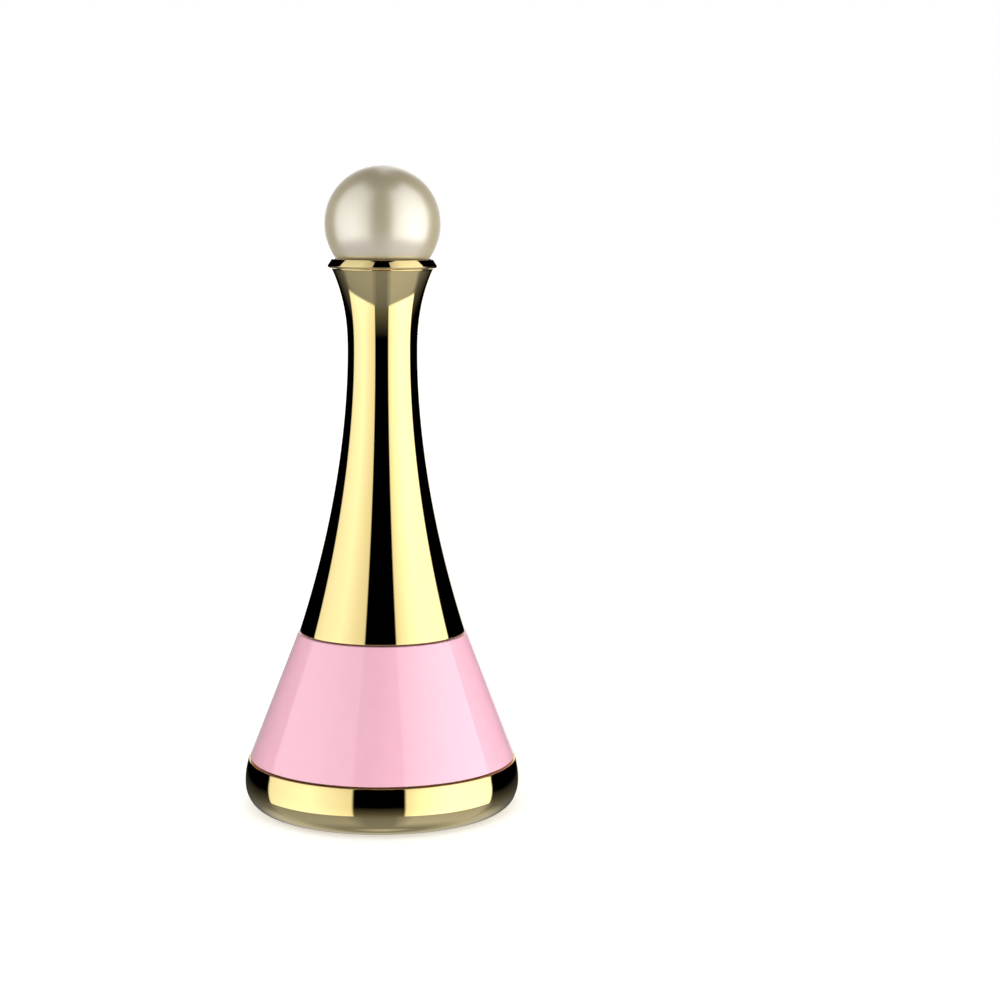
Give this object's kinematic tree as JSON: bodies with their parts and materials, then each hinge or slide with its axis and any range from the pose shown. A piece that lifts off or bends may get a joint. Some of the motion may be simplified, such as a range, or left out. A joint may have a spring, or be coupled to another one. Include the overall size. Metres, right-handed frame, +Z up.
{
  "type": "ionic eye massager",
  "caption": "Small standing massager: pearl push button, flared gold handle that unscrews for the cell, pink cone band, round gold foot with a ridged contact plate underneath.",
  "frame": {"origin": "on the axis, in the plane that the foot stands on", "axes": "+Z up along the axis, through the foot, the band, the handle and the pearl; +X towards the motor"},
  "size_m": [0.042, 0.042, 0.0971],
  "materials": {
    "mirror_gold": "mirror-polished pale gold plating",
    "satin_gold": "satin pale gold plating",
    "pink_gloss": "high-gloss pink lacquer",
    "pearl": "pearl lacquer with a soft lustre",
    "white_plastic": "smooth white moulding",
    "black_plastic": "moulded black",
    "ivory_plastic": "moulded, uncoated",
    "steel": "bright steel",
    "brass": "turned brass",
    "nickel": "nickel-plated",
    "rubber": "black rubber",
    "board_green": "green solder mask",
    "cell_wrap": "printed film, plain colour",
    "red_wire": "insulated wire",
    "black_wire": "insulated wire",
    "ferrite": "sintered ferrite",
    "ceramic_tan": "ceramic chip"
  },
  "bodies": {
    "base": {"electrode_plate": "satin_gold", "insulating_ring": "white_plastic", "plate_seal": "rubber", "foot_ring": "mirror_gold", "foot_screw_1": "steel", "foot_screw_2": "steel", "foot_screw_3": "steel", "circuit_board": "board_green", "controller_chip": "black_plastic", "boost_inductor": "ferrite", "capacitor_1": "ceramic_tan", "capacitor_2": "ceramic_tan", "contact_pin": "brass", "inner_frame": "ivory_plastic", "cell_contact": "nickel", "battery_nub": "nickel", "battery_cell": "cell_wrap", "pink_band": "pink_gloss", "neck_seal": "rubber", "contact_ring": "brass", "contact_ring_lead": "black_wire", "motor_case": "steel", "motor_end_cap": "black_plastic", "motor_sleeve": "rubber", "motor_lead_red": "red_wire", "motor_lead_black": "black_wire"},
    "motor_rotor": {"motor_shaft": "steel", "eccentric_weight": "steel"},
    "spring_unit": {"contact_spring": "steel"},
    "handle": {"handle_shell": "mirror_gold", "thread_sleeve": "brass", "tail_contact": "brass", "switch_carrier": "black_plastic", "switch_body": "black_plastic", "guide_bush": "ivory_plastic", "collar_ring": "mirror_gold", "return_spring": "steel"},
    "plunger": {"switch_plunger": "ivory_plastic"},
    "button": {"button_stem": "steel", "stem_clip": "steel", "pearl_bead": "pearl"}
  },
  "joints": [
    {"name": "motor_spin", "type": "hinge", "parent": "base", "child": "motor_rotor", "pos_m": [0.0109, 0, 0.0177], "axis": [0, 0, 1], "continuous": true},
    {"name": "handle_rise", "type": "slide", "parent": "base", "child": "spring_unit", "axis": [0, 0, 1], "range_m": [0, 0.0046]},
    {"name": "handle_turn", "type": "hinge", "parent": "spring_unit", "child": "handle", "pos_m": [0, 0, 0.02705], "axis": [0, 0, 1], "range_deg": [0, 810]},
    {"name": "button_press", "type": "slide", "parent": "handle", "child": "button", "axis": [0, 0, -1], "range_m": [0, 0.00045], "stiffness_N_per_m": 900, "springref_m": -0.0012, "deforming": ["return_spring"]},
    {"name": "plunger_travel", "type": "slide", "parent": "handle", "child": "plunger", "axis": [0, 0, -1], "range_m": [0, 0.00046]}
  ],
  "couplings": [
    {"joint": "handle_rise", "follows": "handle_turn", "m_per_rad": 0.00031831},
    {"joint": "plunger_travel", "follows": "button_press", "ratio": 1}
  ]
}
